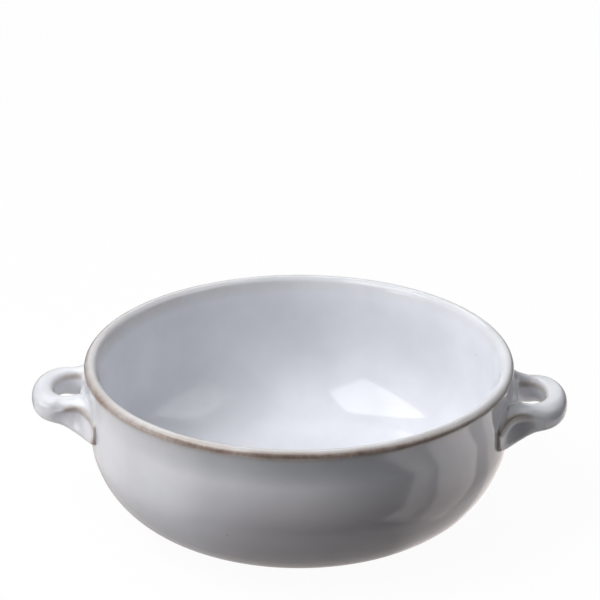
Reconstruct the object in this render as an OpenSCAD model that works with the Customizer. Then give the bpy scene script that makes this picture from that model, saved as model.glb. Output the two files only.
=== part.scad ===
// Round stoneware soup crock with two lug handles, standing on a low foot ring.
// The origin is the middle of the resting surface, +Z is up and the handles lie along X.

/* [Bowl] */
// Outside diameter over the lip
rim_d = 150; // [130:1:180]
// Height from the resting surface to the top of the lip
bowl_h = 57.5; // [52:0.5:75]
// Thickness of the wall
wall_t = 4.1; // [3:0.1:6]
// Thickness of the rounded lip, a little over the wall's
lip_t = 4.4; // [3.2:0.1:7]
// Thickness of the floor
floor_t = 4.5; // [3:0.1:7]
// Outside radius of the curve from the wall into the base
base_r = 30.5; // [20:0.5:36]
// Height of the outward flare, up to the top of the lip
flare_h = 14; // [9:0.5:18]
// Distance that the flare carries the middle of the wall outwards
flare_out = 1.45; // [0.6:0.05:4]

/* [Foot ring] */
// Outside diameter of the foot ring
foot_d = 84; // [60:1:86]
// Width of the ring that touches the table
foot_w = 5; // [3:0.5:8]
// Height of the base above the table
foot_h = 1.7; // [1:0.1:3]

/* [Handles] */
// Reach of a handle beyond the wall
handle_reach = 20.6; // [17:0.2:26]
// Width across the two legs of a handle
handle_w = 30; // [27:0.2:36]
// Drop from the top of the lip to the top of a handle
handle_drop = 11.3; // [9:0.1:15]
// Height of a handle at its tip
handle_t = 9.4; // [7:0.1:12]
// Radius in plan where a leg spreads into the wall
root_r = 15.5; // [8:0.5:18]
// Thickness of a leg's pad where it ends on the wall
pad_t = 1.3; // [0.8:0.1:2]
// Distance from the wall at which the top of a handle begins to rise
top_reach = 9; // [5:0.5:11]
// Rise of the top of a handle at the wall
top_rise = 8; // [4:0.5:10]
// Fall of the underside from the tip to the wall
under_fall = 5.8; // [2:0.1:8]
// Fall of the top where a leg has spread furthest along the wall
spread_fall = 4; // [2:0.5:8]
// Rise of the underside at the same place
spread_rise = 3; // [0:0.5:5]
// Depth of the hollow that a thumb leaves in the outside of each leg
hollow_d = 1.9; // [0.5:0.1:3]

/* [Finger holes] */
// Length of a hole along the wall
hole_l = 18; // [14:0.2:20]
// Width of a hole, outwards
hole_w = 9.2; // [7:0.2:12]
// Radius of the hole's corners beside the wall
hole_corner_r = 2.5; // [1:0.1:4]
// Thickness of the web between a hole and the wall
web_t = 3.6; // [2:0.1:4.5]
// Drop from the top of a handle to the narrowest place in its hole
hole_drop = 3.8; // [2:0.1:5]

/* [Joints] */
// Thickness of the fired slip between a handle and the wall
slip_t = 0.5; // [0.3:0.05:1]

/* [Hidden] */
$fn = 128;

// The wall stands in from the lip by the reach of the flare
rim_r = rim_d / 2;
lip_r = lip_t / 2;
lip_x = rim_r - lip_r;
lip_z = bowl_h - lip_r;
mid_r = lip_x - flare_out;
wall_r = mid_r + wall_t / 2;
foot_r = foot_d / 2;

// The outer curve into the base turns about one corner, the inner curve about another above it
corner_x = wall_r - base_r;
corner_z = foot_h + base_r;
inner_r = base_r - wall_t;
inner_z = foot_h + floor_t + inner_r;

// The flare is an arc about a centre outside the bowl, level with its start, that ends at the lip.
// Its radius is rounded to a fine grain, so that the arc and the straight wall meet without a step.
grain = 0.01;
flare_z = bowl_h - flare_h;
flare_mid_r = grain * round((pow(lip_z - flare_z, 2) + pow(flare_out, 2)) / (2 * flare_out) / grain);
flare_x = mid_r + flare_mid_r;
flare_top_z = flare_z + flare_x * (lip_z - flare_z) / (flare_x - lip_x);

// Each leg spreads along an arc until it lies beside the wall, where its pad ends
leg_y = handle_w / 2;
pad_r = wall_r + pad_t;
root_y = leg_y + root_r;
root_x = sqrt(pow(pad_r + root_r, 2) - pow(root_y, 2));
root_a = atan2(root_y, root_x);
pad_end = pad_r * [cos(root_a), sin(root_a)];
tip_x = wall_r + handle_reach;

// The hole is round at its outer end and straight beside the web
hole_y = hole_l / 2;
hole_in_x = wall_r + web_t;
hole_out_x = hole_in_x + hole_w;
hole_mid_x = hole_in_x + hole_corner_r;

// Heights of a handle, and the share of its reach over which the underside falls
handle_top_z = bowl_h - handle_drop;
handle_low_z = handle_top_z - handle_t;
hole_z = handle_top_z - hole_drop;
fall_share = 0.73;

// Steps along the tip, the spread and the web of half a handle, and round its section
tip_steps = 9;
spread_steps = 8;
web_steps = 3;
section_steps = 20;

// Each section has four corners: outer top, inner top, inner underside and outer underside.
// Their squareness across and up, at the tip and beside the wall: 2 is round, more is squarer.
tip_powers = [[2.4, 2.4], [2.8, 2.6], [2.2, 2.2], [2.4, 2.4]];
wall_powers = [[2, 1.4], [2.8, 2.6], [2.2, 2.2], [4, 4]];
// Shares of the reach between which a leg turns from the one into the other
leg_shares = [0.61, 0.13];
leg_from_x = wall_r + handle_reach * leg_shares[0];
leg_full_x = wall_r + handle_reach * leg_shares[1];
// Shares of the way out from the hole at which a section is highest, and lowest at the tip and the wall
crest_share = 0.5;
keel_shares = [0.55, 0.85];
// Share of a section's height at which the outside has its ridge, at the tip and the wall
ridge_shares = [0.5, 0.86];
// Share of the hollow's height at which it is deepest, and of its depth that is left where a pad ends
hollow_top_share = 0.72;
hollow_end_share = 0.1;
// Share of the rise that a web keeps, and share of its thickness over which it begins
web_rise_share = 0.4;
web_start_share = 0.67;

// Points on an ellipse arc about c, from angle a to angle b, without the last one
function arc(c, rx, ry, a, b, steps) = [
    for (i = [0 : steps - 1])
        let (t = a + (b - a) * i / steps) c + [rx * cos(t), ry * sin(t)]
];
function line(a, b, steps) = [for (i = [0 : steps - 1]) a + (b - a) * i / steps];
function ease(share) = let (held = min(1, max(0, share))) held * held * (3 - 2 * held);
function blend(pair, share) = pair[0] + (pair[1] - pair[0]) * share;

// Plan outlines of half a handle, from the tip round to the wall: outside, and round the hole
outer_half = concat(
    arc([root_x, 0], tip_x - root_x, leg_y, 0, 90, tip_steps),
    arc([root_x, root_y], root_r, root_r, 270, 180 + root_a, spread_steps),
    [pad_end],
    arc([0, 0], mid_r, mid_r, root_a, 0, web_steps)
);
hole_half = concat(
    arc([hole_mid_x, 0], hole_out_x - hole_mid_x, hole_y, 0, 90, tip_steps),
    arc([hole_mid_x, hole_y - hole_corner_r], hole_corner_r, hole_corner_r, 90, 180, spread_steps + 1),
    line([hole_in_x, hole_y - hole_corner_r], [hole_in_x, 0], web_steps)
);
pad_step = tip_steps + spread_steps;
half_steps = pad_step + 1 + web_steps;
loop_steps = 2 * half_steps;
outer_loop = closed(outer_half, [mid_r, 0]);
hole_loop = closed(hole_half, [hole_in_x, 0]);

// A half outline, its last point and its mirror image make the closed one
function closed(half, last) = concat(
    half,
    [last],
    [for (i = [half_steps - 1 : -1 : 1]) [half[i].x, -half[i].y]]
);

// Share of a leg's spread at a place beside the handle's middle
function spread_share(y) = pow(min(1, max(0, abs(y) - leg_y) / (pad_end.y - leg_y)), 2);

// Top of a handle away from the wall, and its rise at a distance from the wall
function flat_z(y) = handle_top_z - spread_fall * spread_share(y);
function rise(gap) = top_rise * (1 - sqrt(1 - pow(1 - min(1, max(0, gap) / top_reach), 2)));

// Underside of a handle: it falls towards the wall, but not beside the hole
function low_z(plan, out_share) =
    let (fall = pow(1 - min(1, max(0, norm(plan) - wall_r) / (fall_share * handle_reach)), 2))
    handle_low_z - under_fall * fall * ease(out_share) + spread_rise * spread_share(plan.y);

// Direction in plan from the outside of a leg into its clay
function inward(i) =
    let (run = outer_loop[(i + 1) % loop_steps] - outer_loop[(i + loop_steps - 1) % loop_steps])
    [-run.y, run.x] / norm(run);

// Shape of the hollow, from the keel up to the ridge
function hollow_share(up) =
    up > hollow_top_share ? sin(90 * (1 - up) / (1 - hollow_top_share)) : sin(90 * up / hollow_top_share);

// A point of the lug: station i round the hole, step j round the section
function lug_point(i, j) =
    let (
        quarter = floor(4 * j / section_steps),
        turn = 360 * j / section_steps,
        half_i = min(i, loop_steps - i),
        outside = half_i <= pad_step,
        hole = hole_loop[i],
        outer = outer_loop[i],
        leg = ease((leg_from_x - outer.x) / (leg_from_x - leg_full_x)),
        ending = ease((half_i - tip_steps) / spread_steps),
        powers = blend([tip_powers[quarter], wall_powers[quarter]], leg),
        out = pow(abs(cos(turn)), 2 / powers[0]),
        away = pow(abs(sin(turn)), 2 / powers[1]),
        middle = quarter < 2 ? crest_share : blend(keel_shares, leg),
        across = quarter == 0 || quarter == 3 ? blend([middle, 1], out) : middle * (1 - out),
        deep_share = outside && quarter == 3 ? leg * out * blend([1, hollow_end_share], ending) : 0,
        plan = blend([hole, outer], across) + hollow_d * deep_share * hollow_share(1 - away) * inward(i),
        ridge_z = blend([low_z(outer, 1), flat_z(outer.y)], blend(ridge_shares, leg)),
        swept = rise(norm(plan) - wall_r) * blend([1, web_rise_share], ending),
        start = quarter == 1 ? ease(across * norm(outer - hole) / (web_start_share * web_t)) : 1,
        side_z = quarter == 0 || quarter == 3 ? ridge_z : hole_z,
        end_z = quarter < 2 ? flat_z(plan.y) + swept * start : low_z(plan, across / middle)
    )
    [plan.x, plan.y, blend([side_z, end_z], away)];

// One closed skin round the finger hole, running on into the wall
module lug() {
    points = [for (i = [0 : loop_steps - 1]) for (j = [0 : section_steps - 1]) lug_point(i, j)];
    faces = [
        for (i = [0 : loop_steps - 1])
            for (j = [0 : section_steps - 1])
                let (
                    i2 = (i + 1) % loop_steps,
                    j2 = (j + 1) % section_steps,
                    a = i * section_steps + j,
                    b = i2 * section_steps + j,
                    c = i2 * section_steps + j2,
                    d = i * section_steps + j2
                )
                each [[a, b, c], [a, c, d]]
    ];
    polyhedron(points, faces);
}

// Half section of everything within the outer surface, grown by a skin
module outer_section(skin) {
    intersection() {
        translate([corner_x, corner_z]) circle(base_r + skin);
        translate([corner_x, foot_h - skin]) square([base_r + skin, base_r + skin]);
    }
    translate([0, foot_h - skin]) square([corner_x, base_r + skin]);
    translate([0, corner_z]) square([wall_r + skin, flare_z - corner_z]);
    difference() {
        polygon([[0, flare_z], [flare_x, flare_z], [0, flare_top_z]]);
        translate([flare_x, flare_z]) circle(flare_mid_r - wall_t / 2 - skin);
    }
}

// Half section of the hollow, running out through the mouth
module hollow_section() {
    intersection() {
        translate([corner_x, inner_z]) circle(inner_r);
        translate([corner_x, inner_z - inner_r]) square(inner_r);
    }
    translate([0, foot_h + floor_t]) square([corner_x, inner_r]);
    translate([0, inner_z]) square([wall_r - wall_t, flare_z - inner_z]);
    difference() {
        translate([0, flare_z]) square([rim_r, flare_top_z - flare_z]);
        translate([flare_x, flare_z]) circle(flare_mid_r + wall_t / 2);
    }
}

module crock_solid(skin) {
    rotate_extrude() outer_section(skin);
}

module bowl_body() {
    color("#E4E6EC")
        rotate_extrude() {
            difference() {
                outer_section(0);
                hollow_section();
            }
            translate([lip_x, lip_z]) circle(lip_r);
            translate([foot_r - foot_w, 0]) square([foot_w, foot_h + floor_t / 2]);
        }
}

module handle() {
    color("#DDE0E8")
        difference() {
            lug();
            crock_solid(slip_t);
        }
}

// The slip fills the curved gap between a handle's root and the wall
module luting_seam() {
    color("#B9A48F")
        difference() {
            intersection() {
                lug();
                crock_solid(slip_t);
            }
            crock_solid(0);
        }
}

module left_handle() { mirror([1, 0, 0]) handle(); }
module right_handle() { handle(); }
module left_luting_seam() { mirror([1, 0, 0]) luting_seam(); }
module right_luting_seam() { luting_seam(); }

bowl_body();
left_handle();
right_handle();
left_luting_seam();
right_luting_seam();
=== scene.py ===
# %% [markdown]
# # A stoneware soup crock with two lug handles
# The crock is a thrown bowl with a rounded lip and a low foot ring. A lug of clay is pressed on each side
# with a little wet slip, and one white glaze covers everything but the ring that touches the table. The
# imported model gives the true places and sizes, so the script starts by loading it as a fixed frame, and
# the finer pieces made here stay inside its box.

# %% Load the frame
import math

import bpy
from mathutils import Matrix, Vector


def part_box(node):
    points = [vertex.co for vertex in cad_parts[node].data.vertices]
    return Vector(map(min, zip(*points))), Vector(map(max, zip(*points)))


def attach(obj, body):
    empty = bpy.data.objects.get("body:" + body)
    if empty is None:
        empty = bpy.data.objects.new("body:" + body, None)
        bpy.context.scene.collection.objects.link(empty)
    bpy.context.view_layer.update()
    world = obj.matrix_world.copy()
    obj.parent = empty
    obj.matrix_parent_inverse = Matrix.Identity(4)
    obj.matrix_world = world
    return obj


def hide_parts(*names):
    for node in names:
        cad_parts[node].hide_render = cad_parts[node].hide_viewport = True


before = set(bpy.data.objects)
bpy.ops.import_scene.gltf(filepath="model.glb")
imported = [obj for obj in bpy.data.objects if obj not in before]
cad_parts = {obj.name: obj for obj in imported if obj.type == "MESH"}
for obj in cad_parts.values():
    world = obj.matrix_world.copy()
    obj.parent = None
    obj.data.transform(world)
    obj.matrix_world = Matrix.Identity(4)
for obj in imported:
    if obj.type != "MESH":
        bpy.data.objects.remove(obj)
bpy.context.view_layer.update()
MM = 0.001
bowl_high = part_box("bowl_body")[1]
rim_r = min(bowl_high.x, bowl_high.y)
bowl_h = bowl_high.z
print("bowl:", round(2 * rim_r / MM, 1), "mm over the lip,", round(bowl_h / MM, 1), "mm high")

# %% [markdown]
# ## The camera
# A product photograph is taken with a long lens from a step away, so the far lip is hardly smaller than
# the near one. The camera stands on a sphere round the middle of the lip, and the lens follows from how
# many pixels a metre at one metre fills. It is made first, because every later choice is judged through it.

# %% Camera
PICTURE_PX = 600
FOCAL_PX = 2864.3
# Where the middle of the lip lies, from the picture's top left corner
LIP_MIDDLE_PX = (299, 357.13)
CAMERA_DISTANCE = 1.0
LOOK_DOWN = math.radians(24.737)
LOOK_TURN = math.radians(2.2)
SENSOR_MM = 36

lip_middle = Vector((0, 0, bowl_h))
level = math.cos(LOOK_DOWN)
towards_camera = Vector((level * math.sin(LOOK_TURN), -level * math.cos(LOOK_TURN), math.sin(LOOK_DOWN)))
pitch = LOOK_DOWN - math.atan((LIP_MIDDLE_PX[1] - PICTURE_PX / 2) / FOCAL_PX)
bpy.ops.object.select_all(action="DESELECT")
bpy.ops.object.camera_add(
    location=lip_middle + CAMERA_DISTANCE * towards_camera,
    rotation=(math.pi / 2 - pitch, 0, LOOK_TURN),
)
camera = bpy.context.object
camera.name = "camera"
camera.data.sensor_width = SENSOR_MM
camera.data.lens = FOCAL_PX * SENSOR_MM / PICTURE_PX
camera.data.shift_x = (PICTURE_PX / 2 - LIP_MIDDLE_PX[0]) / PICTURE_PX
bpy.context.scene.camera = camera
print("lens:", round(camera.data.lens, 1), "mm")

# %% [markdown]
# ## The bowl
# A potter draws a wall up from a turning lump, so the bowl is one profile swung round the axis. It could be
# cut from a cylinder with insets and bevels, but its base, flare and lip are long curves that run into each
# other. So the profile is drawn as by hand: one point is extruded step by step up the inside, over the lip,
# down the outside and under the foot, and Spin swings it round. The wall swells a little on its way through
# the flare, so it runs into the round lip without a crease.

# %% Bowl sizes
WALL_T = 4.1 * MM
LIP_T = 4.4 * MM
FLOOR_T = 4.5 * MM
BASE_R = 30.5 * MM
FLARE_H = 14 * MM
FLARE_OUT = 1.45 * MM
FOOT_R = 42 * MM
FOOT_W = 5 * MM
FOOT_H = 1.7 * MM
FOOT_EDGE_R = 0.6 * MM
FOOT_COVE_R = 0.8 * MM

lip_r = LIP_T / 2
lip_x = rim_r - lip_r
lip_z = bowl_h - lip_r
mid_r = lip_x - FLARE_OUT
wall_r = mid_r + WALL_T / 2
corner_x = wall_r - BASE_R
corner_z = FOOT_H + BASE_R
inner_corner_r = BASE_R - WALL_T
floor_z = FOOT_H + FLOOR_T
flare_z = bowl_h - FLARE_H
flare_r = ((lip_z - flare_z) ** 2 + FLARE_OUT ** 2) / (2 * FLARE_OUT)
flare_x = mid_r + flare_r
flare_end = math.asin((lip_z - flare_z) / flare_r)
print("wall radius:", round(wall_r / MM, 2), "mm; flare turns", round(math.degrees(flare_end), 1), "degrees")


# %% Helpers for drawing a profile
def arc(centre, radius, start, end, steps):
    """Points along an arc, from one angle in degrees to another, both ends included."""
    turns = [math.radians(start + (end - start) * k / steps) for k in range(steps + 1)]
    return [Vector((centre[0] + radius * math.cos(t), centre[1] + radius * math.sin(t))) for t in turns]


def ease(share):
    """A smooth start and end for a share that goes from 0 to 1."""
    share = max(0.0, min(1.0, share))
    return share * share * (3 - 2 * share)


def flare(side, steps):
    """The flare on one side of the wall, from its start up to the lip: side is -1 inside, 1 outside."""
    points = []
    for k in range(steps + 1):
        turn = flare_end * k / steps
        half = (WALL_T + (LIP_T - WALL_T) * ease(k / steps)) / 2
        middle = Vector((flare_x - flare_r * math.cos(turn), flare_z + flare_r * math.sin(turn)))
        points.append(middle + side * half * Vector((math.cos(turn), -math.sin(turn))))
    return points


def start_piece(name, points):
    """A new mesh object that holds one line of points in the XZ plane, drawn by extruding a single point."""
    bpy.ops.object.select_all(action="DESELECT")
    bpy.ops.mesh.primitive_plane_add(size=MM, location=(0, 0, 0))
    piece = bpy.context.object
    piece.name = name
    bpy.ops.object.mode_set(mode="EDIT")
    bpy.ops.mesh.select_mode(type="VERT")
    bpy.ops.mesh.select_all(action="SELECT")
    bpy.ops.mesh.merge(type="CENTER")
    bpy.ops.transform.translate(value=(points[0].x, 0, points[0].y))
    for here, there in zip(points, points[1:]):
        step = there - here
        bpy.ops.mesh.extrude_region_move(TRANSFORM_OT_translate={"value": (step.x, 0, step.y)})
    return piece


print("flare: from", round(flare(1, 1)[0].x / MM, 2), "to", round(flare(1, 1)[-1].x / MM, 2), "mm")

# %% Draw and spin the bowl
ARC_STEPS = 28
FLARE_STEPS = 14
EDGE_STEPS = 5
SPIN_STEPS = 256
# The base curve stops a little short of level, in degrees, and runs straight on to the foot's cove
BASE_STOP = -86
MERGE_GAP = 0.005 * MM

lip_turn = math.degrees(flare_end)
foot_in_r = FOOT_R - FOOT_W
cove_z = FOOT_H - FOOT_COVE_R
profile = [Vector((0, floor_z)), Vector((corner_x / 2, floor_z))]
profile += arc((corner_x, floor_z + inner_corner_r), inner_corner_r, -90, 0, ARC_STEPS)
profile += flare(-1, FLARE_STEPS)
profile += arc((lip_x, lip_z), lip_r, 180 - lip_turn, -lip_turn, ARC_STEPS)[1:-1]
profile += flare(1, FLARE_STEPS)[::-1]
profile += arc((corner_x, corner_z), BASE_R, 0, BASE_STOP, ARC_STEPS)
profile += arc((FOOT_R + FOOT_COVE_R, cove_z), FOOT_COVE_R, 90, 180, EDGE_STEPS)
profile += arc((FOOT_R - FOOT_EDGE_R, FOOT_EDGE_R), FOOT_EDGE_R, 0, -90, EDGE_STEPS)
profile += arc((foot_in_r + FOOT_EDGE_R, FOOT_EDGE_R), FOOT_EDGE_R, -90, -180, EDGE_STEPS)
profile += arc((foot_in_r - FOOT_COVE_R, cove_z), FOOT_COVE_R, 0, 90, EDGE_STEPS)
profile += [Vector((foot_in_r / 2, FOOT_H)), Vector((0, FOOT_H))]

bowl = start_piece("crock_bowl", profile)
bpy.ops.mesh.select_all(action="SELECT")
bpy.ops.mesh.spin(steps=SPIN_STEPS, angle=2 * math.pi, center=(0, 0, 0), axis=(0, 0, 1))
bpy.ops.mesh.select_all(action="SELECT")
bpy.ops.mesh.remove_doubles(threshold=MERGE_GAP)
bpy.ops.mesh.normals_make_consistent(inside=False)
bpy.ops.object.mode_set(mode="OBJECT")
bpy.ops.object.shade_smooth()
print("bowl:", len(bowl.data.vertices), "points,", len(bowl.data.polygons), "faces")

# %% [markdown]
# ## The handles in plan
# Each handle is a lug of clay with a finger hole pushed through it, so it has the shape of a ring. A bent
# bar would have two plain ends, but these legs spread along the wall, and a web of clay lies behind the
# hole. So a torus is the right primitive to start from, and its sections are moved. First come the two
# outlines that they bridge in plan: the hole's own edge, and the lug's outer edge, which spreads into the
# wall at both legs and ends there as a thin pad.

# %% Handle sizes
HANDLE_W = 30 * MM
HANDLE_DROP = 11.3 * MM
HANDLE_T = 9.4 * MM
ROOT_R = 15.5 * MM
TOP_REACH = 9 * MM
TOP_RISE = 8 * MM
UNDER_FALL = 5.8 * MM
SPREAD_FALL = 4 * MM
SPREAD_RISE = 3 * MM
HOLE_L = 18 * MM
HOLE_W = 9.2 * MM
HOLE_CORNER_R = 2.5 * MM
WEB_T = 3.6 * MM
FALL_SHARE = 0.73
PAD_T = 1.3 * MM
PAD_EDGE_R = 0.5 * MM

tip_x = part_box("right_handle")[1].x
handle_reach = tip_x - wall_r
leg_y = HANDLE_W / 2
root_y = leg_y + ROOT_R
root_x = math.sqrt((wall_r + PAD_T + ROOT_R) ** 2 - root_y ** 2)
root_turn = math.degrees(math.atan2(root_y, root_x))
spread_y = (wall_r + PAD_T) * math.sin(math.radians(root_turn))
hole_y = HOLE_L / 2
hole_in_x = wall_r + WEB_T
hole_out_x = hole_in_x + HOLE_W
hole_mid_x = hole_in_x + HOLE_CORNER_R
handle_top_z = bowl_h - HANDLE_DROP
handle_low_z = handle_top_z - HANDLE_T
print("handle: reach", round(handle_reach / MM, 1), "mm, spread", round(2 * spread_y / MM, 1), "mm")


# %% Outlines of a handle in plan
def half_ellipse_end(middle_x, reach, side_y, steps):
    """A quarter of an ellipse in plan, from its tip on the X axis to its side."""
    turns = [math.pi / 2 * k / steps for k in range(steps)]
    return [Vector((middle_x + reach * math.cos(t), side_y * math.sin(t))) for t in turns]


def mirrored_loop(half):
    """A closed outline from the points of its +Y half, first and last on the X axis."""
    return half + [Vector((p.x, -p.y)) for p in half[-2:0:-1]]


TIP_STEPS = 40
SPREAD_STEPS = 40
PAD_STEPS = 5
WEB_STEPS = 14
pad_edge = []
for k in range(PAD_STEPS):
    lean = math.pi / 2 * (1 - k / (PAD_STEPS - 1))
    reach = wall_r + PAD_T - PAD_EDGE_R + PAD_EDGE_R * math.sin(lean)
    turn = math.radians(root_turn) + PAD_EDGE_R * math.cos(lean) / wall_r
    pad_edge.append(Vector((reach * math.cos(turn), reach * math.sin(turn))))
outer_half = half_ellipse_end(root_x, tip_x - root_x, leg_y, TIP_STEPS)
outer_half += arc((root_x, root_y), ROOT_R, 270, 180 + root_turn, SPREAD_STEPS)[:-1]
outer_half += pad_edge
outer_half += arc((0, 0), mid_r, root_turn, 0, WEB_STEPS)
web_edge_y = hole_y - HOLE_CORNER_R
hole_half = half_ellipse_end(hole_mid_x, hole_out_x - hole_mid_x, hole_y, TIP_STEPS)
hole_half += arc((hole_mid_x, web_edge_y), HOLE_CORNER_R, 90, 180, SPREAD_STEPS + PAD_STEPS)[:-1]
hole_half += [Vector((hole_in_x, web_edge_y * (1 - k / WEB_STEPS))) for k in range(WEB_STEPS + 1)]
outer_loop = mirrored_loop(outer_half)
hole_loop = mirrored_loop(hole_half)
STATIONS = len(outer_loop)
print("handle:", STATIONS, "stations round the finger hole")

# %% [markdown]
# ## The handles' heights and sections
# Seen from the side, a handle's top sweeps up the wall and its underside falls towards it. A ridge runs
# along the outside of each leg, and under it a thumb has smoothed a hollow. Sculpting would leave uneven
# faces, so each cross-section is worked out as a rounded square whose four corners have their own
# squareness, from the tip to the wall. Its points are then spaced evenly, so that the mesh stays even.

# %% Heights of a handle
# The sweep and the wall's radius depend on each other, so they are settled in a few rounds
RISE_ROUNDS = 6


def spread_share(y):
    """How far a leg has spread along the wall, from 0 at its side to 1 at the end of the spread."""
    return min(1.0, max(0.0, abs(y) - leg_y) / (spread_y - leg_y)) ** 2


def flat_height(y):
    """Height of a handle's top away from the wall."""
    return handle_top_z - SPREAD_FALL * spread_share(y)


def wall_lean(z):
    """How far the bowl's outside leans out at a height, as an angle."""
    return math.asin(max(0.0, min(lip_z, z) - flare_z) / flare_r)


def wall_radius(z):
    """Radius of the bowl's outside at a height."""
    return wall_r + flare_r * (1 - math.cos(wall_lean(z)))


def rise(plan, base):
    """How far the top has swept up the flared wall at a place in plan, from a base height."""
    swept = 0.0
    for _ in range(RISE_ROUNDS):
        near = 1 - min(1.0, max(0.0, plan.length - wall_radius(base + swept)) / TOP_REACH)
        swept = (swept + TOP_RISE * (1 - math.sqrt(1 - near ** 2))) / 2
    return swept


def low_height(plan, outside_share):
    """Height of a handle's underside at a place in plan: it falls to the wall, but not beside the hole."""
    fall = (1 - min(1.0, max(0.0, plan.length - wall_r) / (FALL_SHARE * handle_reach))) ** 2
    return handle_low_z - UNDER_FALL * fall * ease(outside_share) + SPREAD_RISE * spread_share(plan.y)


print("handle: top at", round(flat_height(0) / MM, 1), "mm, tip's underside at", end=" ")
print(round(low_height(outer_loop[0], 1.0) / MM, 1), "mm")

# %% Where a section lies along its leg
# Distances from the bowl's axis at which a leg's ridge and hollow start, and at which they are full
HOLLOW_FROM_X = 86 * MM
HOLLOW_FULL_X = 76 * MM
# Shares of the spread at which a leg starts to end, and the web behind the hole starts
ENDING_FROM = 0.3
WEBBED_FROM = 0.5

pad_start = TIP_STEPS + SPREAD_STEPS
pad_end = pad_start + PAD_STEPS


def blend(pair, share):
    """A value between the two of a pair."""
    return pair[0] + (pair[1] - pair[0]) * share


def bump(value, middle, half_width):
    """A soft bump: 1 at its middle, 0 beyond its half width."""
    return ease(1 - abs(value - middle) / half_width)


def leg_place(station):
    """How far a station is along its leg, to the pad's end and to the web, and if it is on the outside."""
    half_station = min(station, STATIONS - station)
    spread_station = half_station - TIP_STEPS
    along = ease((HOLLOW_FROM_X - outer_loop[station].x) / (HOLLOW_FROM_X - HOLLOW_FULL_X))
    ending = ease((spread_station - ENDING_FROM * SPREAD_STEPS) / ((1 - ENDING_FROM) * SPREAD_STEPS))
    web_steps = (1 - WEBBED_FROM) * SPREAD_STEPS + PAD_STEPS
    webbed = ease((spread_station - WEBBED_FROM * SPREAD_STEPS) / web_steps)
    return along, ending, webbed, half_station < pad_end


def inward(station):
    """The direction in plan from the outer outline into the clay."""
    before, after = outer_loop[station - 1], outer_loop[(station + 1) % STATIONS]
    tangent = (after - before).normalized()
    return Vector((-tangent.y, tangent.x))


print("pad: stations", pad_start, "to", pad_end)

# %% Where the glaze breaks on a handle, with painted shade at the pads
# How thin the glaze gets on the finger hole's upper edge, and the share of that at the tip
HOLE_BREAK = 0.6
HOLE_TIP_SHARE = 0.4
# How thin it gets on a ridge, where the ridge lies in its quarter, how wide the break is above and below it,
# and where it starts along the leg and over how much
RIDGE_BREAK = 0.6
RIDGE_PLACE = 0.02
ABOVE_RIDGE = 0.6
BELOW_RIDGE = 0.3
RIDGE_FROM = 0.25
RIDGE_FADE = 0.5
# How thin it gets on a pad, from its ridge to its lower edge, and how many stations before the pad it starts:
# towards the lower corner the darkening is partly glaze break and partly painted shade of the crease at the
# wall
PAD_BREAK_AND_SHADE = (0.12, 0.75)
PAD_POWER = 1.5
PAD_EARLY = 8
PAD_FADE = 9


def break_and_shade_share(station, quarter, away):
    """How thin the glaze lies on the ridges, the pads' ends and round the finger hole's upper edge; on the
    pads' ends it darkens into painted shade towards the lower corner.
    """
    along, _, webbed, outside = leg_place(station)
    half_station = min(station, STATIONS - station)
    if quarter == 1:
        beside = blend((HOLE_TIP_SHARE, 1.0), bump(half_station, TIP_STEPS, TIP_STEPS))
        return HOLE_BREAK * bump(away, 0.5, 0.5) * beside * (1 - webbed)
    if quarter == 2 or not outside:
        return 0.0
    width = ABOVE_RIDGE if quarter == 0 else BELOW_RIDGE
    ridge = RIDGE_BREAK * bump(away, RIDGE_PLACE, width) * ease((along - RIDGE_FROM) / RIDGE_FADE)
    if quarter == 0:
        return ridge
    pad = blend(PAD_BREAK_AND_SHADE, away ** PAD_POWER) * ease((half_station - pad_start + PAD_EARLY) / PAD_FADE)
    return max(ridge, pad)


print("glaze on a pad's lower edge: thin by", break_and_shade_share(pad_end - 1, 3, 1.0))

# %% Hollow and sunk top of a leg
# The hollow under a ridge: how deep it is, how high up it is deepest, and what is left of it at the pad's end
HOLLOW_DEPTH = 1.9 * MM
HOLLOW_DEEPEST_SHARE = 0.72
HOLLOW_END_SHARE = 0.1
# Where a leg lies along the wall its top sinks into it over this height
SINK_REACH = 6 * MM
SINK_RISE = 4.5 * MM
SINK_DEPTH = 0.2 * MM
SINK_SHARE = 0.7


def sink(plan, outer, above, height, share):
    """A place above a leg's ridge, drawn to the wall where the leg lies along it, so the top runs out."""
    stand = outer.length - wall_r
    near = ease(1 - (stand - PAD_T) / SINK_REACH)
    allowed = blend((stand, -SINK_DEPTH), min(1.0, above / SINK_RISE))
    proud = plan.length - wall_radius(height)
    proud += near * share * (min(proud, allowed) - proud)
    return plan.normalized() * (wall_radius(height) + proud)


def hollow_shape(up):
    """How deep the hollow is at a height in its quarter, from 0 at both ends to 1 at its deepest."""
    if up > HOLLOW_DEEPEST_SHARE:
        return math.sin(math.pi / 2 * (1 - up) / (1 - HOLLOW_DEEPEST_SHARE))
    return math.sin(math.pi / 2 * up / HOLLOW_DEEPEST_SHARE)


print("hollow:", round(HOLLOW_DEPTH / MM, 1), "mm deep at most")

# %% Sections of a handle
# Squareness of a section's four corners at the tip and beside the wall, from the outer top round to the
# outer underside, first across and then up: 2 is round, more is squarer and less is sharper
TIP_POWERS = [(2.4, 2.4), (2.8, 2.6), (2.2, 2.2), (2.4, 2.4)]
WALL_POWERS = [(2.0, 1.4), (2.8, 2.6), (2.2, 2.2), (4.0, 4.0)]
# Where a section is highest and lowest, as shares of the way from the hole to the outside
CREST_SHARE = 0.5
KEEL_SHARES = (0.55, 0.85)
# The widest place of a section: low down in the hole, and at a ridge on the outside of each leg
HOLE_MID_DROP = 3.8 * MM
RIDGE_UP_SHARES = (0.5, 0.86)
WEB_RISE_REACH = 2.4 * MM
WEB_RISE_SHARE = 0.4


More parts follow.
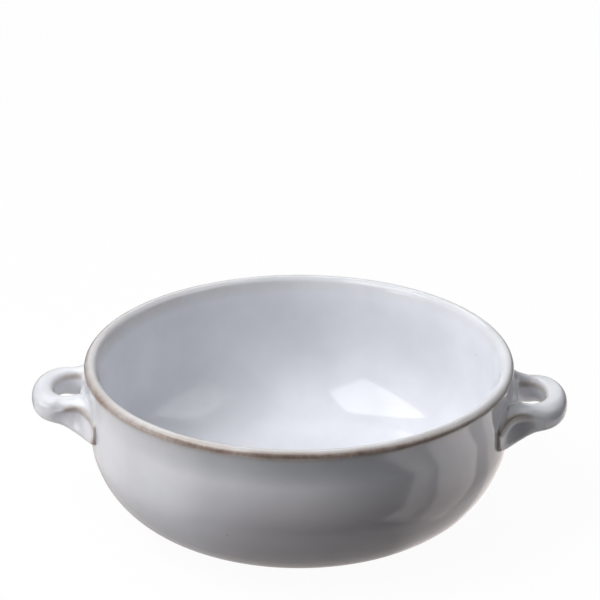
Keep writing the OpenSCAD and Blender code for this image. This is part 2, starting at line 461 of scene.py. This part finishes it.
def section_point(station, turn):
    """A point of the lug at a station round the hole and an angle round its section, and its glaze break,
    with painted shade at the pads' ends.
    """
    along, ending, webbed, outside = leg_place(station)
    quarter = int(turn // (math.pi / 2)) % 4
    tip_power, wall_power = TIP_POWERS[quarter], WALL_POWERS[quarter]
    out = abs(math.cos(turn)) ** (2 / blend((tip_power[0], wall_power[0]), along))
    away = abs(math.sin(turn)) ** (2 / blend((tip_power[1], wall_power[1]), along))
    middle = CREST_SHARE if quarter < 2 else blend(KEEL_SHARES, along)
    across = blend((middle, 1.0), out) if quarter in (0, 3) else middle * (1 - out)
    hole, outer = hole_loop[station], outer_loop[station]
    plan = hole.lerp(outer, across)
    ridge_z = blend((low_height(outer, 1.0), flat_height(outer.y)), blend(RIDGE_UP_SHARES, along))
    if outside and quarter == 3:
        depth = HOLLOW_DEPTH * along * hollow_shape(1 - away) * blend((1.0, HOLLOW_END_SHARE), ending) * out
        plan += inward(station) * depth
    thin_and_shade = break_and_shade_share(station, quarter, away)
    flat = flat_height(plan.y)
    swept = rise(plan, flat) * blend((1.0, WEB_RISE_SHARE), webbed)
    if quarter == 0:
        height = blend((ridge_z, flat + swept), away)
        outer_share = ease((across - middle) / (SINK_SHARE * (1 - middle)))
        plan = sink(plan, outer, height - ridge_z, height, outer_share)
        return Vector((plan.x, plan.y, height, thin_and_shade))
    hole_z = handle_top_z - HOLE_MID_DROP
    if quarter == 1:
        swept *= ease(across * (outer - hole).length / WEB_RISE_REACH)
        return Vector((plan.x, plan.y, blend((hole_z, flat + swept), away), thin_and_shade))
    low = low_height(plan, across / middle)
    return Vector((plan.x, plan.y, blend((hole_z if quarter == 2 else ridge_z, low), away), thin_and_shade))


tip_point = section_point(0, 0.0)
print("handle: tip at", round(tip_point.x / MM, 1), "mm out and", round(tip_point.z / MM, 1), "mm up")


# %% Space the sections' points
def evenly(points, count):
    """The same closed line with its points spaced evenly along it."""
    ring = points + points[:1]
    lengths = [0.0]
    for here, there in zip(ring, ring[1:]):
        lengths.append(lengths[-1] + (there.to_3d() - here.to_3d()).length)
    spaced, k = [], 0
    for step in range(count):
        want = lengths[-1] * step / count
        while lengths[k + 1] < want:
            k += 1
        share = (want - lengths[k]) / (lengths[k + 1] - lengths[k])
        spaced.append(ring[k].lerp(ring[k + 1], share))
    return spaced


SECTION_STEPS = 64
FINE_STEPS = 240
fine_turns = [2 * math.pi * k / FINE_STEPS for k in range(FINE_STEPS)]
sections = [evenly([section_point(s, t) for t in fine_turns], SECTION_STEPS) for s in range(STATIONS)]
print("handle:", len(sections), "sections of", SECTION_STEPS, "points")

# %% [markdown]
# ## The handles' mesh and neck
# The torus is added with as many segments as there are stations, and its points are moved to the sections.
# A wet sponge leaves no line where a lug's top runs into the wall. A Boolean would cut a crease there, so
# the lug stays a piece of its own that reaches a little into the wall: a Smooth modifier works on the neck
# alone, and the last millimetres take the wall's own normals, so that light runs on without a break.


# %% Move a torus to the sections
def lug_from_torus(name, side):
    """A torus moved point by point to the lug's sections: side is 1 on the right and -1 on the left."""
    bpy.ops.object.select_all(action="DESELECT")
    bpy.ops.mesh.primitive_torus_add(
        major_segments=STATIONS,
        minor_segments=SECTION_STEPS,
        major_radius=(tip_x - hole_in_x) / 2,
        minor_radius=HANDLE_T / 2,
        location=(0, 0, 0),
    )
    lug = bpy.context.object
    lug.name = name
    # The attribute holds the glaze break, and painted shade at the pads' lower corners
    lug_break_and_shade = lug.data.attributes.new("glaze_break_and_shade", "FLOAT", "POINT")
    for station, section in enumerate(sections):
        for step, point in enumerate(section):
            index = station * SECTION_STEPS + step
            lug.data.vertices[index].co = (side * point.x, point.y, point.z)
            lug_break_and_shade.data[index].value = point.w
    bpy.ops.object.mode_set(mode="EDIT")
    bpy.ops.mesh.select_all(action="SELECT")
    bpy.ops.mesh.normals_make_consistent(inside=False)
    bpy.ops.object.mode_set(mode="OBJECT")
    return lug


print("torus:", STATIONS, "by", SECTION_STEPS, "segments")

# %% Smooth the neck
# The neck starts and ends at these distances from the wall, and lies above this drop from the handle's top;
# each is followed by the distance over which it fades in or out
NECK_START, NECK_START_FADE = 0.4 * MM, 1 * MM
NECK_END, NECK_END_FADE = 7 * MM, 2 * MM
NECK_DROP, NECK_DROP_FADE = 4 * MM, 2 * MM
NECK_FACTOR = 0.5
NECK_ROUNDS = 14


def smooth_neck(lug):
    """Smooth a lug where its top runs into the wall, and leave the rest of it alone."""
    neck = lug.vertex_groups.new(name="neck")
    for vertex in lug.data.vertices:
        proud = Vector(vertex.co[:2]).length - wall_radius(vertex.co.z)
        share = ease((proud - NECK_START) / NECK_START_FADE) * ease((NECK_END - proud) / NECK_END_FADE)
        share *= ease((vertex.co.z - handle_top_z + NECK_DROP) / NECK_DROP_FADE)
        neck.add([vertex.index], share, "REPLACE")
    smooth = lug.modifiers.new("smooth_neck", "SMOOTH")
    smooth.vertex_group = neck.name
    smooth.factor = NECK_FACTOR
    smooth.iterations = NECK_ROUNDS
    bpy.ops.object.modifier_apply(modifier=smooth.name)
    lug.vertex_groups.clear()
    bpy.ops.object.shade_smooth()


print("neck: up to", round(NECK_END / MM, 1), "mm from the wall")

# %% Shade the neck into the wall, and make both handles
# How near the wall, and how far below the handle's top, the normals start to turn to the wall's
NORMAL_REACH = 2.2 * MM
NORMAL_DROP, NORMAL_DROP_FADE = 8 * MM, 5 * MM


def lean_normals(lug):
    """Turn a lug's normals to the wall's where it runs into the wall."""
    normals = []
    for vertex in lug.data.vertices:
        x, y, z = vertex.co
        across = Vector((x, y)).length
        lean = wall_lean(z)
        wall_normal = Vector((x / across * math.cos(lean), y / across * math.cos(lean), -math.sin(lean)))
        share = ease(1 - (across - wall_radius(z)) / NORMAL_REACH)
        share *= ease((z - handle_top_z + NORMAL_DROP) / NORMAL_DROP_FADE)
        normals.append(vertex.normal.lerp(wall_normal, share).normalized())
    lug.data.normals_split_custom_set_from_vertices(normals)


def make_handle(name, side):
    """One finished lug handle: side is 1 on the right and -1 on the left."""
    lug = lug_from_torus(name, side)
    smooth_neck(lug)
    lean_normals(lug)
    return lug


right_lug = make_handle("right_lug_handle", 1)
left_lug = make_handle("left_lug_handle", -1)
print("handles:", len(right_lug.data.polygons), "faces each")

# %% [markdown]
# ## Where the glaze lies thin
# Molten glaze draws back from an edge, and there the clay shows through as cream, tan and brown. A pattern
# in space can't follow a lip, so each point of the mesh gets a number that says how thin the glaze lies
# on it; at the handles' pads the number also paints shade. The material reads that number as an attribute.
# The lip's break is dark and narrow at the front, wide and pale to the left of it, and hardly there behind on
# the right.

# %% Where the glaze breaks on the lip
# How thin the glaze lies along the profile: millimetres from the lip's outermost line, and a share
LIP_DARK = [
    (-6.0, 0.0), (-1.8, 0.08), (-0.7, 0.2), (0.0, 0.8), (0.5, 1.05), (1.3, 1.0), (1.9, 0.55),
    (2.6, 0.3), (5.5, 0.24), (6.6, 0.34), (8.5, 0.22), (12.0, 0.0),
]
LIP_PALE = [
    (-6.0, 0.0), (-1.8, 0.06), (-0.7, 0.16), (0.0, 0.48), (0.5, 0.64), (1.3, 0.6), (2.2, 0.42),
    (3.2, 0.28), (4.2, 0.2), (5.5, 0.18), (6.6, 0.3), (8.5, 0.2), (12.0, 0.0),
]
# Where the break is darkest, in degrees from the front to the right, and how closely it keeps to that place
DARKEST_TURN = 5
DARKEST_FOCUS = 8
# Where the pale break is widest, and the share of it that is left on the far side
WIDEST_TURN = -60
FAR_SIDE_SHARE = 0.35


def listed_share(shares, place):
    """The share at a place along the profile, on a straight line between the listed ones."""
    for (before, first), (after, second) in zip(shares, shares[1:]):
        if before <= place <= after:
            return first + (second - first) * (place - before) / (after - before)
    return 0.0


def nearness(point, turn):
    """How near a place is to a turn in degrees from the front to the right: 1 there, 0 on the far side."""
    return 0.5 + 0.5 * math.cos(math.atan2(point.x, -point.y) - math.radians(turn))


def lip_place(point):
    """Where a point of the bowl lies along the profile, in millimetres from the lip's outermost line."""
    out, up = Vector(point[:2]).length - lip_x, point.z - lip_z
    if up >= 0:
        return lip_r * math.atan2(up, out) / MM
    return (up if out > -lip_r / 2 else math.pi * lip_r - up) / MM


lip_break = bowl.data.attributes.new("glaze_break_and_shade", "FLOAT", "POINT")
for vertex in bowl.data.vertices:
    place = lip_place(vertex.co)
    pale = listed_share(LIP_PALE, place)
    pale *= blend((FAR_SIDE_SHARE, 1.0), ease(nearness(vertex.co, WIDEST_TURN)))
    dark_share = nearness(vertex.co, DARKEST_TURN) ** DARKEST_FOCUS
    lip_break.data[vertex.index].value = blend((pale, listed_share(LIP_DARK, place)), dark_share)
print("lip: glaze breaks on", sum(1 for item in lip_break.data if item.value > 0.5), "points")

# %% Painted shade low down on the outside
# Below the first height the painted shade is full, and above the second there is none
SHADE_FULL_Z = 31 * MM
SHADE_NONE_Z = 47 * MM
# The middle of the shaded side, in degrees from the front towards the right, and the cosine at which the
# painted shade is full
SHADE_MIDDLE_TURN = 50
SHADE_FULL_COSINE = 0.62

# Painted shade: the outside is darkened low down on the front and right
low_shade = bowl.data.attributes.new("painted_low_shade", "FLOAT", "POINT")
for vertex in bowl.data.vertices:
    across, z = Vector(vertex.co[:2]).length, vertex.co.z
    swing = Vector((max(0.0, across - corner_x), min(0.0, z - corner_z)))
    outside = swing.length > BASE_R - WALL_T / 2 or z < floor_z / 2
    turned = math.atan2(vertex.co.x, -vertex.co.y) - math.radians(SHADE_MIDDLE_TURN)
    share = ease((SHADE_NONE_Z - z) / (SHADE_NONE_Z - SHADE_FULL_Z)) * ease(math.cos(turned) / SHADE_FULL_COSINE)
    low_shade.data[vertex.index].value = share if outside else 0.0
print("low coat on", sum(1 for item in low_shade.data if item.value > 0.5), "points")

# %% [markdown]
# ## The glaze
# Glazed stoneware is clay under a skin of glass: a soft bluish white with a sharp reflection over it. It
# could be a white shader under a clear coat, but one Principled shader with the IOR of glass gives the same
# look with one layer less. Its colour is built up in layers: the whole coat first, then painted shade low
# down on the outside, then the break at the edges, with painted shade at the handles' pads, and a few specks
# of iron that melted through.


# %% Colour and node helpers
def linear(hex_colour):
    """The linear colour of an sRGB hex value such as E4E6EC."""
    parts = [int(hex_colour[k:k + 2], 16) / 255 for k in (0, 2, 4)]
    return [p / 12.92 if p <= 0.04045 else ((p + 0.055) / 1.055) ** 2.4 for p in parts] + [1.0]


def add_node(tree, kind, settings=None, inputs=None):
    """Add one shader node: settings are its own options, inputs are values or output sockets to link."""
    made = tree.nodes.new(kind)
    for name, value in (settings or {}).items():
        setattr(made, name, value)
    for name, value in (inputs or {}).items():
        if isinstance(value, bpy.types.NodeSocket):
            tree.links.new(value, made.inputs[name])
        else:
            made.inputs[name].default_value = value
    return made


def new_material(name):
    """An empty node material and its tree, with its output."""
    material = bpy.data.materials.new(name)
    material.use_nodes = True
    material.node_tree.nodes.clear()
    return material, material.node_tree, add_node(material.node_tree, "ShaderNodeOutputMaterial")


# A Mix node keeps sockets for every kind of data: these are its share, its two colours and its result
MIX_SHARE, MIX_FIRST, MIX_SECOND, MIX_RESULT = 0, 6, 7, 2
print("white in linear light:", [round(part, 3) for part in linear("E5E7ED")])

# %% Patterns in the glaze
# How wide a pattern's clouds are in millimetres, its detail and its roughness. The peel is drawn about
# twice as coarse as on real glaze, so that it shows
GLAZE_PATTERNS = {
    "clouds": (22, 3, 0.5),
    "patches": (13, 2, 0.5),
    "grain": (1.6, 3, 0.6),
    "swell": (16, 2, 0.5),
    "peel": (2.2, 2, 0.5),
}

# A glassy white skin: soft colour below, a sharp mirror on top, and warm clay at the edges
glaze, tree, output = new_material("white_glazed_stoneware")
coords = add_node(tree, "ShaderNodeTexCoord").outputs["Object"]
pattern = {}
for name, (size, detail, roughness) in GLAZE_PATTERNS.items():
    pattern[name] = add_node(tree, "ShaderNodeTexNoise", {"noise_dimensions": "3D"}, {
        "Vector": coords,
        "Scale": 1 / (size * MM),
        "Detail": detail,
        "Roughness": roughness,
    }).outputs["Fac"]
print("glaze patterns:", ", ".join(pattern))

# %% Colour of the coat, and painted shade low down
# The whole coat lies thicker and bluer, or thinner and greyer, in clouds
WHOLE_COAT = ("E5E7ED", "DDDFE5")
CLOUD_RANGE = (0.35, 0.65)
# Low on the outside, towards the front and right, the colour is painted darker and warmer: painted shade
PAINTED_SHADE_COLOUR = "C9C6CA"

clouded = add_node(tree, "ShaderNodeMapRange", inputs={
    "Value": pattern["clouds"],
    "From Min": CLOUD_RANGE[0],
    "From Max": CLOUD_RANGE[1],
})
whole = add_node(tree, "ShaderNodeMix", {"data_type": "RGBA"}, {
    MIX_SHARE: clouded.outputs["Result"],
    MIX_FIRST: linear(WHOLE_COAT[0]),
    MIX_SECOND: linear(WHOLE_COAT[1]),
})
# Painted shade darkens the coat low down on the outside
shade_share = add_node(tree, "ShaderNodeAttribute", {"attribute_name": "painted_low_shade"}).outputs["Fac"]
shaded_coat = add_node(tree, "ShaderNodeMix", {"data_type": "RGBA"}, {
    MIX_SHARE: shade_share,
    MIX_FIRST: whole.outputs[MIX_RESULT],
    MIX_SECOND: linear(PAINTED_SHADE_COLOUR),
})
print("coat:", WHOLE_COAT[0], "to", WHOLE_COAT[1], "and", PAINTED_SHADE_COLOUR, "low down")

# %% Colour of the break
# The break is uneven along an edge: long patches first, then a fine grain, both read over this range
UNEVEN_RANGE = (0.3, 0.7)
PATCH_SHARES = (0.68, 1.1)
GRAIN_SHARES = (-0.1, 0.1)
# From one share to the next the colour turns to cream, then tan, then the brown of the clay; at the pads'
# lower corners the darkest of these is partly painted shade
BREAK_AND_SHADE_COLOURS = [(0.03, 0.32, "C6C1BF"), (0.32, 0.68, "9C8C84"), (0.68, 1.0, "66564F")]

# The attribute carries the glaze break and, at the handles' pads, painted shade
thin_and_shade = add_node(tree, "ShaderNodeAttribute", {"attribute_name": "glaze_break_and_shade"}).outputs["Fac"]
uneven = []
for name, shares in (("patches", PATCH_SHARES), ("grain", GRAIN_SHARES)):
    uneven.append(add_node(tree, "ShaderNodeMapRange", inputs={
        "Value": pattern[name],
        "From Min": UNEVEN_RANGE[0],
        "From Max": UNEVEN_RANGE[1],
        "To Min": shares[0],
        "To Max": shares[1],
    }).outputs["Result"])
both = add_node(tree, "ShaderNodeMath", {"operation": "ADD"}, {0: uneven[0], 1: uneven[1]}).outputs["Value"]
break_and_shade = add_node(tree, "ShaderNodeMath", {"operation": "MULTIPLY"}, {0: thin_and_shade, 1: both}).outputs["Value"]
colour = shaded_coat.outputs[MIX_RESULT]
for low, high, shade in BREAK_AND_SHADE_COLOURS:
    share = add_node(tree, "ShaderNodeMapRange", inputs={"Value": break_and_shade, "From Min": low, "From Max": high})
    colour = add_node(tree, "ShaderNodeMix", {"data_type": "RGBA"}, {
        MIX_SHARE: share.outputs["Result"],
        MIX_FIRST: colour,
        MIX_SECOND: linear(shade),
    }).outputs[MIX_RESULT]
print("break:", len(BREAK_AND_SHADE_COLOURS), "colours")

# %% Iron specks
# One in ten cells of this size has a speck, with an edge between these shares of the cell
SPECK_CELL = 7 * MM
SPECK_RARE = 0.9
SPECK_EDGE = (0.03, 0.05)
SPECK_STRENGTH = 0.55
SPECK_COLOUR = "8A7566"

cells = add_node(tree, "ShaderNodeTexVoronoi", {"feature": "F1"}, {"Vector": coords, "Scale": 1 / SPECK_CELL})
inside = add_node(tree, "ShaderNodeMapRange", inputs={
    "Value": cells.outputs["Distance"],
    "From Min": SPECK_EDGE[0],
    "From Max": SPECK_EDGE[1],
    "To Min": SPECK_STRENGTH,
    "To Max": 0.0,
}).outputs["Result"]
draw = add_node(tree, "ShaderNodeSeparateColor", inputs={"Color": cells.outputs["Color"]}).outputs["Red"]
chosen = add_node(tree, "ShaderNodeMath", {"operation": "GREATER_THAN"}, {0: draw, 1: SPECK_RARE})
speck = add_node(tree, "ShaderNodeMath", {"operation": "MULTIPLY"}, {0: inside, 1: chosen.outputs["Value"]})
colour = add_node(tree, "ShaderNodeMix", {"data_type": "RGBA"}, {
    MIX_SHARE: speck.outputs["Value"],
    MIX_FIRST: colour,
    MIX_SECOND: linear(SPECK_COLOUR),
}).outputs[MIX_RESULT]
print("specks up to", round(2 * SPECK_EDGE[1] * SPECK_CELL / MM, 1), "mm across")

# %% Skin of the glaze
# Whole glaze is a clean mirror, and it dries out from this share of break on
DRY_FROM = 0.2
GLAZE_ROUGHNESS = (0.035, 0.26)
GLASS_IOR = 1.5
# The skin has a soft swell and, at a twentieth of it, a faint orange peel
SKIN_HEIGHT = 0.05 * MM
PEEL_SHARE = 0.05

roughness = add_node(tree, "ShaderNodeMapRange", inputs={
    "Value": break_and_shade,
    "From Min": DRY_FROM,
    "From Max": 1.0,
    "To Min": GLAZE_ROUGHNESS[0],
    "To Max": GLAZE_ROUGHNESS[1],
}).outputs["Result"]
height = add_node(tree, "ShaderNodeMath", {"operation": "MULTIPLY_ADD"}, {
    0: pattern["peel"],
    1: PEEL_SHARE,
    2: pattern["swell"],
}).outputs["Value"]
skin = add_node(tree, "ShaderNodeBump", inputs={"Strength": 1.0, "Distance": SKIN_HEIGHT, "Height": height})
shader = add_node(tree, "ShaderNodeBsdfPrincipled", inputs={
    "Base Color": colour,
    "Roughness": roughness,
    "IOR": GLASS_IOR,
    "Normal": skin.outputs["Normal"],
})
tree.links.new(shader.outputs["BSDF"], output.inputs["Surface"])
for piece in (bowl, right_lug, left_lug):
    piece.data.materials.clear()
    piece.data.materials.append(glaze)
print("glaze on", [piece.name for piece in (bowl, right_lug, left_lug)])

# %% [markdown]
# ## Dry clay under the foot ring
# Glaze would stick to the kiln's shelf, so the potter wipes it off the ring that the crock stands on. There
# the bare clay is matt and buff, with a grain of crushed pottery. It is a second material on the lowest
# faces of the bowl, because a piece of its own would show a seam that the real crock doesn't have.

# %% Dry clay
GROG_SIZE = 1.1 * MM
GROG_RANGE = (0.35, 0.7)
CLAY_COLOURS = ("CDB79C", "A98F72")
CLAY_ROUGHNESS = 0.85
PIT_DEPTH = 0.15 * MM
PIT_STRENGTH = 0.6
WIPED_Z = 0.5 * FOOT_EDGE_R

# A dull, warm, grainy surface that takes no reflection
clay, tree, output = new_material("dry_stoneware_clay")
coords = add_node(tree, "ShaderNodeTexCoord").outputs["Object"]
grains = add_node(tree, "ShaderNodeTexNoise", {"noise_dimensions": "3D"}, {
    "Vector": coords,
    "Scale": 1 / GROG_SIZE,
    "Detail": 4,
    "Roughness": 0.65,
})
grog = add_node(tree, "ShaderNodeMapRange", inputs={
    "Value": grains.outputs["Fac"],
    "From Min": GROG_RANGE[0],
    "From Max": GROG_RANGE[1],
}).outputs["Result"]
buff = add_node(tree, "ShaderNodeMix", {"data_type": "RGBA"}, {
    MIX_SHARE: grog,
    MIX_FIRST: linear(CLAY_COLOURS[0]),
    MIX_SECOND: linear(CLAY_COLOURS[1]),
})
pits = add_node(tree, "ShaderNodeBump", inputs={
    "Strength": PIT_STRENGTH,
    "Distance": PIT_DEPTH,
    "Height": grog,
})
shader = add_node(tree, "ShaderNodeBsdfPrincipled", inputs={
    "Base Color": buff.outputs[MIX_RESULT],
    "Roughness": CLAY_ROUGHNESS,
    "Normal": pits.outputs["Normal"],
})
tree.links.new(shader.outputs["BSDF"], output.inputs["Surface"])
bowl.data.materials.append(clay)
dry = [face for face in bowl.data.polygons if face.center.z < WIPED_Z]
for face in dry:
    face.material_index = 1
print("dry clay on", len(dry), "faces")

# %% [markdown]
# ## The table
# The crock stands on a plain pale table that is white to the camera, with a trace of shadow. Glaze is a
# mirror, and most of what the wall's lower half mirrors is the table. The lamps' light lies on it in pools,
# cut by the shadows of stands and panels that stay out of the picture. Real stands would need many more
# objects, so the pools are drawn in the table's material by their limits in plan, for mirrored rays alone.
# Light that falls on the table and goes on finds a grey top that glows a little beside the crock.

# %% Pools of light
# A pool's brightness, how soft its edges are, and its limits: in millimetres from the table's middle, or in
# degrees turned from the front towards the right. A third number gives a limit its own softness. The slant
# is measured from lines across the table that run back by this much for every millimetre to the right
SLANT = 0.61
MIRRORED_POOLS = [
    (0.6, 6, {"radius": (-20, 92)}),
    (0.45, 6, {"radius": (-20, 92), "turn": (42, 110)}),
    (1.25, 14, {"radius": (138, 400), "turn": (-60, 20)}),
    (0.75, 4, {"radius": (92, 210), "turn": (-110, -40)}),
    (0.75, 4, {"radius": (92, 140), "turn": (-190, -110)}),
    (0.75, 4, {"radius": (92, 400), "x": (60, 170), "y": (-93, 300)}),
    (0.5, 4, {"x": (60, 114), "y": (-30, 150), "slant": (-60, 400)}),
    (0.35, 3, {"x": (66, 160), "y": (-91, -72)}),
    (0.5, 3, {"x": (66, 160), "y": (-62, 300), "slant": (-400, -85)}),
    (0.5, 3, {"x": (100, 160, 20), "y": (-62, 300), "slant": (-400, -85)}),
    (0.35, 4, {"x": (114, 160), "y": (8, 150), "slant": (-62, 400)}),
]
# The glow of the table: a little everywhere, more far to the left, and most beside the two handles
TABLE_GLOW = [
    (0.03, 0, {}),
    (0.22, 40, {"x": (-9000, -120)}),
    (0.7, 15, {"x": (-160, -90), "y": (-70, 50)}),
    (0.35, 15, {"x": (90, 160), "y": (-70, 50)}),
]


def add_pools(tree, measures, pools):
    """The summed brightness of pools of light, from sockets that measure a place on the table."""
    total = 0.0
    for brightness, edge, limits in pools:
        pool = brightness
        for kind, (low, high, *own_edge) in limits.items():
            unit = math.radians(1) if kind == "turn" else MM
            soft = own_edge[0] if own_edge else edge
            for limit, before, after in ((low, 0.0, 1.0), (high, 1.0, 0.0)):
                share = add_node(tree, "ShaderNodeMapRange", inputs={
                    "Value": measures[kind],
                    "From Min": (limit - soft) * unit,
                    "From Max": (limit + soft) * unit,
                    "To Min": before,
                    "To Max": after,
                })
                factors = {0: pool, 1: share.outputs["Result"]}
                pool = add_node(tree, "ShaderNodeMath", {"operation": "MULTIPLY"}, factors).outputs["Value"]
        total = add_node(tree, "ShaderNodeMath", {"operation": "ADD"}, {0: total, 1: pool}).outputs["Value"]
    return total


print("table:", len(MIRRORED_POOLS), "pools in the mirror,", len(TABLE_GLOW), "in the glow")

# %% Floor
FLOOR_SIZE = 8.0
SHADOW_SHARE = 0.04

bpy.ops.object.select_all(action="DESELECT")
bpy.ops.mesh.primitive_plane_add(size=FLOOR_SIZE, location=(0, 0, 0))
floor = bpy.context.object
floor.name = "floor"
# A pale polished top: white to the eye, and bright in patches where the glaze mirrors it
table, tree, output = new_material("pale_polished_table")
path = add_node(tree, "ShaderNodeLightPath")
place = add_node(tree, "ShaderNodeTexCoord").outputs["Object"]
flat = add_node(tree, "ShaderNodeSeparateXYZ", inputs={"Vector": place})
x, y = flat.outputs["X"], flat.outputs["Y"]
front = add_node(tree, "ShaderNodeMath", {"operation": "MULTIPLY"}, {0: y, 1: -1.0}).outputs["Value"]
radius = add_node(tree, "ShaderNodeVectorMath", {"operation": "LENGTH"}, {0: place}).outputs["Value"]
turned = add_node(tree, "ShaderNodeMath", {"operation": "ARCTAN2"}, {0: x, 1: front}).outputs["Value"]
slant = add_node(tree, "ShaderNodeMath", {"operation": "MULTIPLY_ADD"}, {0: x, 1: -SLANT, 2: y})
measures = {"radius": radius, "turn": turned, "x": x, "y": y, "slant": slant.outputs["Value"]}
# The camera sees white with a trace of the crock's shadow
white = add_node(tree, "ShaderNodeEmission", inputs={"Color": (1, 1, 1, 1), "Strength": 1.0})
pale = add_node(tree, "ShaderNodeBsdfDiffuse", inputs={"Color": linear("FAFAFA")})
seen = add_node(tree, "ShaderNodeMixShader", inputs={
    0: SHADOW_SHARE,
    1: white.outputs["Emission"],
    2: pale.outputs["BSDF"],
})
# The glaze mirrors the pools, and other light finds a grey top that glows a little
pools = add_node(tree, "ShaderNodeEmission", inputs={
    "Color": linear("FFF8F5"),
    "Strength": add_pools(tree, measures, MIRRORED_POOLS),
})
glow = add_node(tree, "ShaderNodeEmission", inputs={
    "Color": linear("FFF6F2"),
    "Strength": add_pools(tree, measures, TABLE_GLOW),
})
grey = add_node(tree, "ShaderNodeBsdfDiffuse", inputs={"Color": linear("7C7C7E")})
top = add_node(tree, "ShaderNodeAddShader", inputs={0: grey.outputs["BSDF"], 1: glow.outputs["Emission"]})
mirrored = add_node(tree, "ShaderNodeMixShader", inputs={
    0: path.outputs["Is Glossy Ray"],
    1: top.outputs["Shader"],
    2: pools.outputs["Emission"],
})
surface = add_node(tree, "ShaderNodeMixShader", inputs={
    0: path.outputs["Is Camera Ray"],
    1: mirrored.outputs["Shader"],
    2: seen.outputs["Shader"],
})
tree.links.new(surface.outputs["Shader"], output.inputs["Surface"])
floor.data.materials.append(table)
print("floor:", FLOOR_SIZE, "m wide,", len(tree.nodes), "nodes")

# %% [markdown]
# ## The studio
# The room round the table is dark, so the glaze mirrors the softboxes alone and their edges stay crisp, while
# the camera sees white behind the crock. A lamp that is bright enough to show in glass can be too bright as
# a light, so every softbox is two lamps: one that lights the crock and isn't mirrored, and one just in front
# of it, its face, that is mirrored and lights nothing.

# %% World
ROOM_LIGHT = 0.03

world = bpy.data.worlds.new("studio")
bpy.context.scene.world = world
world.use_nodes = True
tree = world.node_tree
tree.nodes.clear()
path = add_node(tree, "ShaderNodeLightPath")
dim = add_node(tree, "ShaderNodeBackground", inputs={"Color": (1, 1, 1, 1), "Strength": ROOM_LIGHT})
bright = add_node(tree, "ShaderNodeBackground", inputs={"Color": (1, 1, 1, 1), "Strength": 1.0})
choice = add_node(tree, "ShaderNodeMixShader", inputs={
    0: path.outputs["Is Camera Ray"],
    1: dim.outputs["Background"],
    2: bright.outputs["Background"],
})
add_node(tree, "ShaderNodeOutputWorld", inputs={"Surface": choice.outputs["Shader"]})
bpy.context.scene.view_settings.view_transform = "Standard"
print("world:", world.name)

# %% Softboxes
FACE_FORWARD = 5 * MM
# A softbox's name, its centre and facing, its width and height in metres, how strongly it lights the crock
# and how bright its face is. The key makes the bright window on the bowl's floor, the low left box the band
# on the left wall, the right panel the pale window on the inner left, and the others fill in
SOFTBOXES = [
    ("key", (-0.44, -0.25, 0.86), (0.947, 0, -0.321), 0.825, 0.784, 5.8, 3.2),
    ("low_left", (-0.9, -0.25, 0.12), (0.9, 0.25, -0.05), 0.9, 0.22, 2.0, 4.0),
    ("right_panel", (0.9, -0.1, 0.93), (-1, 0, 0), 0.86, 1.05, 0.45, 1.5),
    ("right_back", (0.9, 0.42, 0.35), (-0.9, -0.42, -0.32), 0.6, 0.5, 1.5, 0.4),
    ("back_low", (0, 1, 0.4), (0, -1, -0.37), 1.0, 0.5, 0.9, 0.8),
    ("back_high", (-0.25, 0.9, 1.0), (0.25, -0.9, -1.0), 0.8, 0.5, 0.9, 2.4),
    ("ceiling", (0, 0.1, 1.3), (0, -0.1, -1.3), 0.6, 0.6, 2.0, 0.0),
]


def softbox(name, centre, facing, width, height, light, face):
    """A rectangular softbox: how strongly it lights the crock, and how bright its face is in the glaze."""
    turn = Vector(facing).to_track_quat("-Z", "Y").to_euler()
    for part, radiance, forward in (("light", light, 0.0), ("face", face, FACE_FORWARD)):
        bpy.ops.object.select_all(action="DESELECT")
        place = Vector(centre) + forward * Vector(facing).normalized()
        bpy.ops.object.light_add(type="AREA", location=place, rotation=turn)
        lamp = bpy.context.object
        lamp.name = name + "_" + part
        lamp.data.shape = "RECTANGLE"
        lamp.data.size = width
        lamp.data.size_y = height
        lamp.data.energy = radiance * math.pi * width * height
        lamp.visible_glossy = part == "face"
        lamp.visible_diffuse = part == "light"


for settings in SOFTBOXES:
    softbox(*settings)
print("softboxes:", ", ".join(settings[0] for settings in SOFTBOXES))

# %% [markdown]
# ## Hand the pieces to the frame
# Every piece moves with the model's one body and stands for the solids of the same shape. The slip between
# a handle and the wall is hidden under the glaze, so a handle stands for its layer of slip too.

# %% Ride and replace
for piece, nodes in (
    (bowl, ["bowl_body"]),
    (right_lug, ["right_handle", "right_luting_seam"]),
    (left_lug, ["left_handle", "left_luting_seam"]),
):
    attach(piece, "root")
    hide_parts(*nodes)
    print(piece.name, "stands for", ", ".join(nodes))
